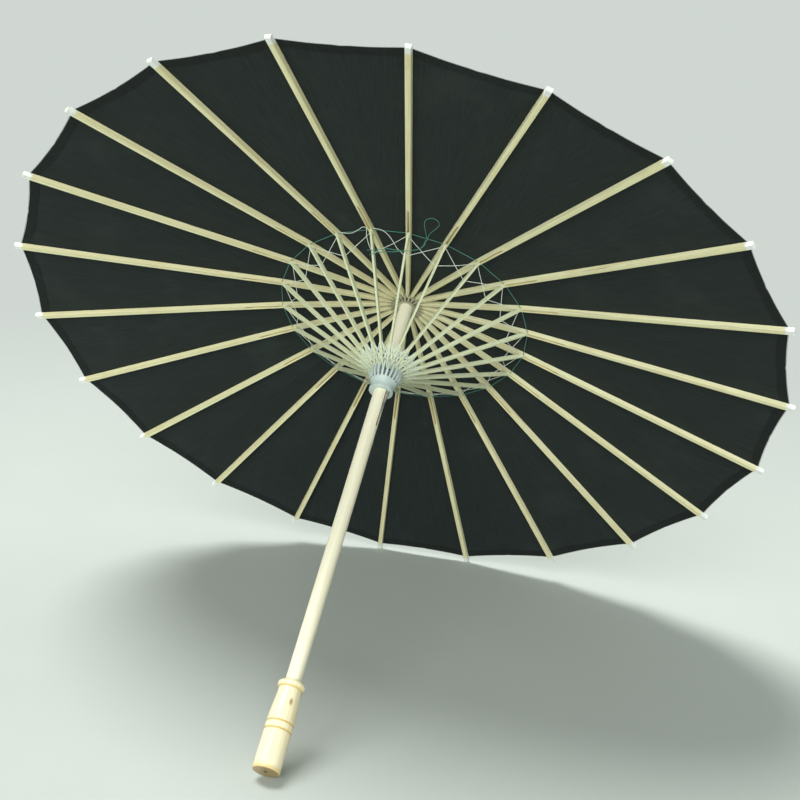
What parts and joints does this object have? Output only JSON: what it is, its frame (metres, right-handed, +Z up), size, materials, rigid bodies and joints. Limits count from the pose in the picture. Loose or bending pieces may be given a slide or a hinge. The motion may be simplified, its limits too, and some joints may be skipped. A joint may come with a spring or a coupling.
{
  "type": "parasol",
  "caption": "Folding parasol: wooden handle and pole, sliding runner, hinged bamboo ribs and stretchers tied with thread, and a black cloth canopy.",
  "frame": {"origin": "centre of the flat lower end of the handle", "axes": "+Z up the pole from handle to finial, parasol open; +X along the first rib"},
  "size_m": [0.8206, 0.813, 0.564],
  "materials": {
    "varnished_wood": "clear varnish over turned wood",
    "pale_wood": "smooth sanded, unfinished",
    "hub_plastic": "matte moulded",
    "runner_plastic": "satin moulded",
    "steel_wire": "drawn wire",
    "peg_wood": "cut dowel",
    "canopy_cloth": "plain woven cloth, slightly sheer",
    "green_thread": "twisted thread",
    "white_thread": "twisted thread",
    "grey_thread": "twisted thread",
    "rib_bamboo": "split bamboo, tips dipped in white",
    "stretcher_bamboo": "split bamboo"
  },
  "bodies": {
    "stick": {"handle": "varnished_wood", "pole": "pale_wood", "hub": "hub_plastic", "hub_tie_ring": "steel_wire", "catch_spring": "steel_wire", "stop_peg": "peg_wood", "cap": "canopy_cloth", "finial": "varnished_wood", "canopy": "canopy_cloth", "joint_thread": "green_thread", "loose_thread": "green_thread", "outer_thread": "white_thread", "inner_thread": "white_thread", "edge_thread": "grey_thread"},
    "runner": {"runner": "runner_plastic", "runner_tie_ring": "steel_wire"},
    "rib_01": {"rib_01": "rib_bamboo"},
    "stretcher_01": {"stretcher_01": "stretcher_bamboo"},
    "rib_02": {"rib_02": "rib_bamboo"},
    "stretcher_02": {"stretcher_02": "stretcher_bamboo"},
    "rib_03": {"rib_03": "rib_bamboo"},
    "stretcher_03": {"stretcher_03": "stretcher_bamboo"},
    "rib_04": {"rib_04": "rib_bamboo"},
    "stretcher_04": {"stretcher_04": "stretcher_bamboo"},
    "rib_05": {"rib_05": "rib_bamboo"},
    "stretcher_05": {"stretcher_05": "stretcher_bamboo"},
    "rib_06": {"rib_06": "rib_bamboo"},
    "stretcher_06": {"stretcher_06": "stretcher_bamboo"},
    "rib_07": {"rib_07": "rib_bamboo"},
    "stretcher_07": {"stretcher_07": "stretcher_bamboo"},
    "rib_08": {"rib_08": "rib_bamboo"},
    "stretcher_08": {"stretcher_08": "stretcher_bamboo"},
    "rib_09": {"rib_09": "rib_bamboo"},
    "stretcher_09": {"stretcher_09": "stretcher_bamboo"},
    "rib_10": {"rib_10": "rib_bamboo"},
    "stretcher_10": {"stretcher_10": "stretcher_bamboo"},
    "rib_11": {"rib_11": "rib_bamboo"},
    "stretcher_11": {"stretcher_11": "stretcher_bamboo"},
    "rib_12": {"rib_12": "rib_bamboo"},
    "stretcher_12": {"stretcher_12": "stretcher_bamboo"},
    "rib_13": {"rib_13": "rib_bamboo"},
    "stretcher_13": {"stretcher_13": "stretcher_bamboo"},
    "rib_14": {"rib_14": "rib_bamboo"},
    "stretcher_14": {"stretcher_14": "stretcher_bamboo"},
    "rib_15": {"rib_15": "rib_bamboo"},
    "stretcher_15": {"stretcher_15": "stretcher_bamboo"},
    "rib_16": {"rib_16": "rib_bamboo"},
    "stretcher_16": {"stretcher_16": "stretcher_bamboo"},
    "rib_17": {"rib_17": "rib_bamboo"},
    "stretcher_17": {"stretcher_17": "stretcher_bamboo"},
    "rib_18": {"rib_18": "rib_bamboo"},
    "stretcher_18": {"stretcher_18": "stretcher_bamboo"},
    "rib_19": {"rib_19": "rib_bamboo"},
    "stretcher_19": {"stretcher_19": "stretcher_bamboo"},
    "rib_20": {"rib_20": "rib_bamboo"},
    "stretcher_20": {"stretcher_20": "stretcher_bamboo"},
    "rib_21": {"rib_21": "rib_bamboo"},
    "stretcher_21": {"stretcher_21": "stretcher_bamboo"},
    "rib_22": {"rib_22": "rib_bamboo"},
    "stretcher_22": {"stretcher_22": "stretcher_bamboo"}
  },
  "joints": [
    {"name": "runner_slide", "type": "slide", "parent": "stick", "child": "runner", "axis": [0, 0, 1], "range_m": [-0.17146, 0], "deforming": ["canopy", "joint_thread", "loose_thread", "outer_thread", "inner_thread", "edge_thread", "catch_spring"]},
    {"name": "rib_01_hinge", "type": "hinge", "parent": "stick", "child": "rib_01", "pos_m": [0.015, 0, 0.529], "axis": [0, 1, 0], "range_deg": [0, 77.27]},
    {"name": "stretcher_01_hinge", "type": "hinge", "parent": "rib_01", "child": "stretcher_01", "pos_m": [0.1357, 0, 0.508], "axis": [0, 1, 0], "range_deg": [-133.13, 0]},
    {"name": "rib_02_hinge", "type": "hinge", "parent": "stick", "child": "rib_02", "pos_m": [0.01439, 0.00423, 0.529], "axis": [-0.2817, 0.9595, 0], "range_deg": [0, 77.27]},
    {"name": "stretcher_02_hinge", "type": "hinge", "parent": "rib_02", "child": "stretcher_02", "pos_m": [0.1302, 0.03823, 0.508], "axis": [-0.2817, 0.9595, 0], "range_deg": [-133.13, 0]},
    {"name": "rib_03_hinge", "type": "hinge", "parent": "stick", "child": "rib_03", "pos_m": [0.01262, 0.00811, 0.529], "axis": [-0.5406, 0.8413, 0], "range_deg": [0, 77.27]},
    {"name": "stretcher_03_hinge", "type": "hinge", "parent": "rib_03", "child": "stretcher_03", "pos_m": [0.11416, 0.07336, 0.508], "axis": [-0.5406, 0.8413, 0], "range_deg": [-133.13, 0]},
    {"name": "rib_04_hinge", "type": "hinge", "parent": "stick", "child": "rib_04", "pos_m": [0.00982, 0.01134, 0.529], "axis": [-0.7557, 0.6549, 0], "range_deg": [0, 77.27]},
    {"name": "stretcher_04_hinge", "type": "hinge", "parent": "rib_04", "child": "stretcher_04", "pos_m": [0.08886, 0.10256, 0.508], "axis": [-0.7557, 0.6549, 0], "range_deg": [-133.13, 0]},
    {"name": "rib_05_hinge", "type": "hinge", "parent": "stick", "child": "rib_05", "pos_m": [0.00623, 0.01364, 0.529], "axis": [-0.9096, 0.4154, 0], "range_deg": [0, 77.27]},
    {"name": "stretcher_05_hinge", "type": "hinge", "parent": "rib_05", "child": "stretcher_05", "pos_m": [0.05637, 0.12344, 0.508], "axis": [-0.9096, 0.4154, 0], "range_deg": [-133.13, 0]},
    {"name": "rib_06_hinge", "type": "hinge", "parent": "stick", "child": "rib_06", "pos_m": [0.00213, 0.01485, 0.529], "axis": [-0.9898, 0.1423, 0], "range_deg": [0, 77.27]},
    {"name": "stretcher_06_hinge", "type": "hinge", "parent": "rib_06", "child": "stretcher_06", "pos_m": [0.01931, 0.13432, 0.508], "axis": [-0.9898, 0.1423, 0], "range_deg": [-133.13, 0]},
    {"name": "rib_07_hinge", "type": "hinge", "parent": "stick", "child": "rib_07", "pos_m": [-0.00213, 0.01485, 0.529], "axis": [-0.9898, -0.1423, 0], "range_deg": [0, 77.27]},
    {"name": "stretcher_07_hinge", "type": "hinge", "parent": "rib_07", "child": "stretcher_07", "pos_m": [-0.01931, 0.13432, 0.508], "axis": [-0.9898, -0.1423, 0], "range_deg": [-133.13, 0]},
    {"name": "rib_08_hinge", "type": "hinge", "parent": "stick", "child": "rib_08", "pos_m": [-0.00623, 0.01364, 0.529], "axis": [-0.9096, -0.4154, 0], "range_deg": [0, 77.27]},
    {"name": "stretcher_08_hinge", "type": "hinge", "parent": "rib_08", "child": "stretcher_08", "pos_m": [-0.05637, 0.12344, 0.508], "axis": [-0.9096, -0.4154, 0], "range_deg": [-133.13, 0]},
    {"name": "rib_09_hinge", "type": "hinge", "parent": "stick", "child": "rib_09", "pos_m": [-0.00982, 0.01134, 0.529], "axis": [-0.7557, -0.6549, 0], "range_deg": [0, 77.27]},
    {"name": "stretcher_09_hinge", "type": "hinge", "parent": "rib_09", "child": "stretcher_09", "pos_m": [-0.08886, 0.10256, 0.508], "axis": [-0.7557, -0.6549, 0], "range_deg": [-133.13, 0]},
    {"name": "rib_10_hinge", "type": "hinge", "parent": "stick", "child": "rib_10", "pos_m": [-0.01262, 0.00811, 0.529], "axis": [-0.5406, -0.8413, 0], "range_deg": [0, 77.27]},
    {"name": "stretcher_10_hinge", "type": "hinge", "parent": "rib_10", "child": "stretcher_10", "pos_m": [-0.11416, 0.07336, 0.508], "axis": [-0.5406, -0.8413, 0], "range_deg": [-133.13, 0]},
    {"name": "rib_11_hinge", "type": "hinge", "parent": "stick", "child": "rib_11", "pos_m": [-0.01439, 0.00423, 0.529], "axis": [-0.2817, -0.9595, 0], "range_deg": [0, 77.27]},
    {"name": "stretcher_11_hinge", "type": "hinge", "parent": "rib_11", "child": "stretcher_11", "pos_m": [-0.1302, 0.03823, 0.508], "axis": [-0.2817, -0.9595, 0], "range_deg": [-133.13, 0]},
    {"name": "rib_12_hinge", "type": "hinge", "parent": "stick", "child": "rib_12", "pos_m": [-0.015, 0, 0.529], "axis": [0, -1, 0], "range_deg": [0, 77.27]},
    {"name": "stretcher_12_hinge", "type": "hinge", "parent": "rib_12", "child": "stretcher_12", "pos_m": [-0.1357, 0, 0.508], "axis": [0, -1, 0], "range_deg": [-133.13, 0]},
    {"name": "rib_13_hinge", "type": "hinge", "parent": "stick", "child": "rib_13", "pos_m": [-0.01439, -0.00423, 0.529], "axis": [0.2817, -0.9595, 0], "range_deg": [0, 77.27]},
    {"name": "stretcher_13_hinge", "type": "hinge", "parent": "rib_13", "child": "stretcher_13", "pos_m": [-0.1302, -0.03823, 0.508], "axis": [0.2817, -0.9595, 0], "range_deg": [-133.13, 0]},
    {"name": "rib_14_hinge", "type": "hinge", "parent": "stick", "child": "rib_14", "pos_m": [-0.01262, -0.00811, 0.529], "axis": [0.5406, -0.8413, 0], "range_deg": [0, 77.27]},
    {"name": "stretcher_14_hinge", "type": "hinge", "parent": "rib_14", "child": "stretcher_14", "pos_m": [-0.11416, -0.07336, 0.508], "axis": [0.5406, -0.8413, 0], "range_deg": [-133.13, 0]},
    {"name": "rib_15_hinge", "type": "hinge", "parent": "stick", "child": "rib_15", "pos_m": [-0.00982, -0.01134, 0.529], "axis": [0.7557, -0.6549, 0], "range_deg": [0, 77.27]},
    {"name": "stretcher_15_hinge", "type": "hinge", "parent": "rib_15", "child": "stretcher_15", "pos_m": [-0.08886, -0.10256, 0.508], "axis": [0.7557, -0.6549, 0], "range_deg": [-133.13, 0]},
    {"name": "rib_16_hinge", "type": "hinge", "parent": "stick", "child": "rib_16", "pos_m": [-0.00623, -0.01364, 0.529], "axis": [0.9096, -0.4154, 0], "range_deg": [0, 77.27]},
    {"name": "stretcher_16_hinge", "type": "hinge", "parent": "rib_16", "child": "stretcher_16", "pos_m": [-0.05637, -0.12344, 0.508], "axis": [0.9096, -0.4154, 0], "range_deg": [-133.13, 0]},
    {"name": "rib_17_hinge", "type": "hinge", "parent": "stick", "child": "rib_17", "pos_m": [-0.00213, -0.01485, 0.529], "axis": [0.9898, -0.1423, 0], "range_deg": [0, 77.27]},
    {"name": "stretcher_17_hinge", "type": "hinge", "parent": "rib_17", "child": "stretcher_17", "pos_m": [-0.01931, -0.13432, 0.508], "axis": [0.9898, -0.1423, 0], "range_deg": [-133.13, 0]},
    {"name": "rib_18_hinge", "type": "hinge", "parent": "stick", "child": "rib_18", "pos_m": [0.00213, -0.01485, 0.529], "axis": [0.9898, 0.1423, 0], "range_deg": [0, 77.27]},
    {"name": "stretcher_18_hinge", "type": "hinge", "parent": "rib_18", "child": "stretcher_18", "pos_m": [0.01931, -0.13432, 0.508], "axis": [0.9898, 0.1423, 0], "range_deg": [-133.13, 0]},
    {"name": "rib_19_hinge", "type": "hinge", "parent": "stick", "child": "rib_19", "pos_m": [0.00623, -0.01364, 0.529], "axis": [0.9096, 0.4154, 0], "range_deg": [0, 77.27]},
    {"name": "stretcher_19_hinge", "type": "hinge", "parent": "rib_19", "child": "stretcher_19", "pos_m": [0.05637, -0.12344, 0.508], "axis": [0.9096, 0.4154, 0], "range_deg": [-133.13, 0]},
    {"name": "rib_20_hinge", "type": "hinge", "parent": "stick", "child": "rib_20", "pos_m": [0.00982, -0.01134, 0.529], "axis": [0.7557, 0.6549, 0], "range_deg": [0, 77.27]},
    {"name": "stretcher_20_hinge", "type": "hinge", "parent": "rib_20", "child": "stretcher_20", "pos_m": [0.08886, -0.10256, 0.508], "axis": [0.7557, 0.6549, 0], "range_deg": [-133.13, 0]},
    {"name": "rib_21_hinge", "type": "hinge", "parent": "stick", "child": "rib_21", "pos_m": [0.01262, -0.00811, 0.529], "axis": [0.5406, 0.8413, 0], "range_deg": [0, 77.27]},
    {"name": "stretcher_21_hinge", "type": "hinge", "parent": "rib_21", "child": "stretcher_21", "pos_m": [0.11416, -0.07336, 0.508], "axis": [0.5406, 0.8413, 0], "range_deg": [-133.13, 0]},
    {"name": "rib_22_hinge", "type": "hinge", "parent": "stick", "child": "rib_22", "pos_m": [0.01439, -0.00423, 0.529], "axis": [0.2817, 0.9595, 0], "range_deg": [0, 77.27]},
    {"name": "stretcher_22_hinge", "type": "hinge", "parent": "rib_22", "child": "stretcher_22", "pos_m": [0.1302, -0.03823, 0.508], "axis": [0.2817, 0.9595, 0], "range_deg": [-133.13, 0]}
  ],
  "couplings": [
    {"joint": "rib_01_hinge", "follows": "runner_slide", "rad_per_m": -7.8644},
    {"joint": "stretcher_01_hinge", "follows": "runner_slide", "rad_per_m": 13.55},
    {"joint": "rib_02_hinge", "follows": "runner_slide", "rad_per_m": -7.8644},
    {"joint": "stretcher_02_hinge", "follows": "runner_slide", "rad_per_m": 13.55},
    {"joint": "rib_03_hinge", "follows": "runner_slide", "rad_per_m": -7.8644},
    {"joint": "stretcher_03_hinge", "follows": "runner_slide", "rad_per_m": 13.55},
    {"joint": "rib_04_hinge", "follows": "runner_slide", "rad_per_m": -7.8644},
    {"joint": "stretcher_04_hinge", "follows": "runner_slide", "rad_per_m": 13.55},
    {"joint": "rib_05_hinge", "follows": "runner_slide", "rad_per_m": -7.8644},
    {"joint": "stretcher_05_hinge", "follows": "runner_slide", "rad_per_m": 13.55},
    {"joint": "rib_06_hinge", "follows": "runner_slide", "rad_per_m": -7.8644},
    {"joint": "stretcher_06_hinge", "follows": "runner_slide", "rad_per_m": 13.55},
    {"joint": "rib_07_hinge", "follows": "runner_slide", "rad_per_m": -7.8644},
    {"joint": "stretcher_07_hinge", "follows": "runner_slide", "rad_per_m": 13.55},
    {"joint": "rib_08_hinge", "follows": "runner_slide", "rad_per_m": -7.8644},
    {"joint": "stretcher_08_hinge", "follows": "runner_slide", "rad_per_m": 13.55},
    {"joint": "rib_09_hinge", "follows": "runner_slide", "rad_per_m": -7.8644},
    {"joint": "stretcher_09_hinge", "follows": "runner_slide", "rad_per_m": 13.55},
    {"joint": "rib_10_hinge", "follows": "runner_slide", "rad_per_m": -7.8644},
    {"joint": "stretcher_10_hinge", "follows": "runner_slide", "rad_per_m": 13.55},
    {"joint": "rib_11_hinge", "follows": "runner_slide", "rad_per_m": -7.8644},
    {"joint": "stretcher_11_hinge", "follows": "runner_slide", "rad_per_m": 13.55},
    {"joint": "rib_12_hinge", "follows": "runner_slide", "rad_per_m": -7.8644},
    {"joint": "stretcher_12_hinge", "follows": "runner_slide", "rad_per_m": 13.55},
    {"joint": "rib_13_hinge", "follows": "runner_slide", "rad_per_m": -7.8644},
    {"joint": "stretcher_13_hinge", "follows": "runner_slide", "rad_per_m": 13.55},
    {"joint": "rib_14_hinge", "follows": "runner_slide", "rad_per_m": -7.8644},
    {"joint": "stretcher_14_hinge", "follows": "runner_slide", "rad_per_m": 13.55},
    {"joint": "rib_15_hinge", "follows": "runner_slide", "rad_per_m": -7.8644},
    {"joint": "stretcher_15_hinge", "follows": "runner_slide", "rad_per_m": 13.55},
    {"joint": "rib_16_hinge", "follows": "runner_slide", "rad_per_m": -7.8644},
    {"joint": "stretcher_16_hinge", "follows": "runner_slide", "rad_per_m": 13.55},
    {"joint": "rib_17_hinge", "follows": "runner_slide", "rad_per_m": -7.8644},
    {"joint": "stretcher_17_hinge", "follows": "runner_slide", "rad_per_m": 13.55},
    {"joint": "rib_18_hinge", "follows": "runner_slide", "rad_per_m": -7.8644},
    {"joint": "stretcher_18_hinge", "follows": "runner_slide", "rad_per_m": 13.55},
    {"joint": "rib_19_hinge", "follows": "runner_slide", "rad_per_m": -7.8644},
    {"joint": "stretcher_19_hinge", "follows": "runner_slide", "rad_per_m": 13.55},
    {"joint": "rib_20_hinge", "follows": "runner_slide", "rad_per_m": -7.8644},
    {"joint": "stretcher_20_hinge", "follows": "runner_slide", "rad_per_m": 13.55},
    {"joint": "rib_21_hinge", "follows": "runner_slide", "rad_per_m": -7.8644},
    {"joint": "stretcher_21_hinge", "follows": "runner_slide", "rad_per_m": 13.55},
    {"joint": "rib_22_hinge", "follows": "runner_slide", "rad_per_m": -7.8644},
    {"joint": "stretcher_22_hinge", "follows": "runner_slide", "rad_per_m": 13.55}
  ]
}
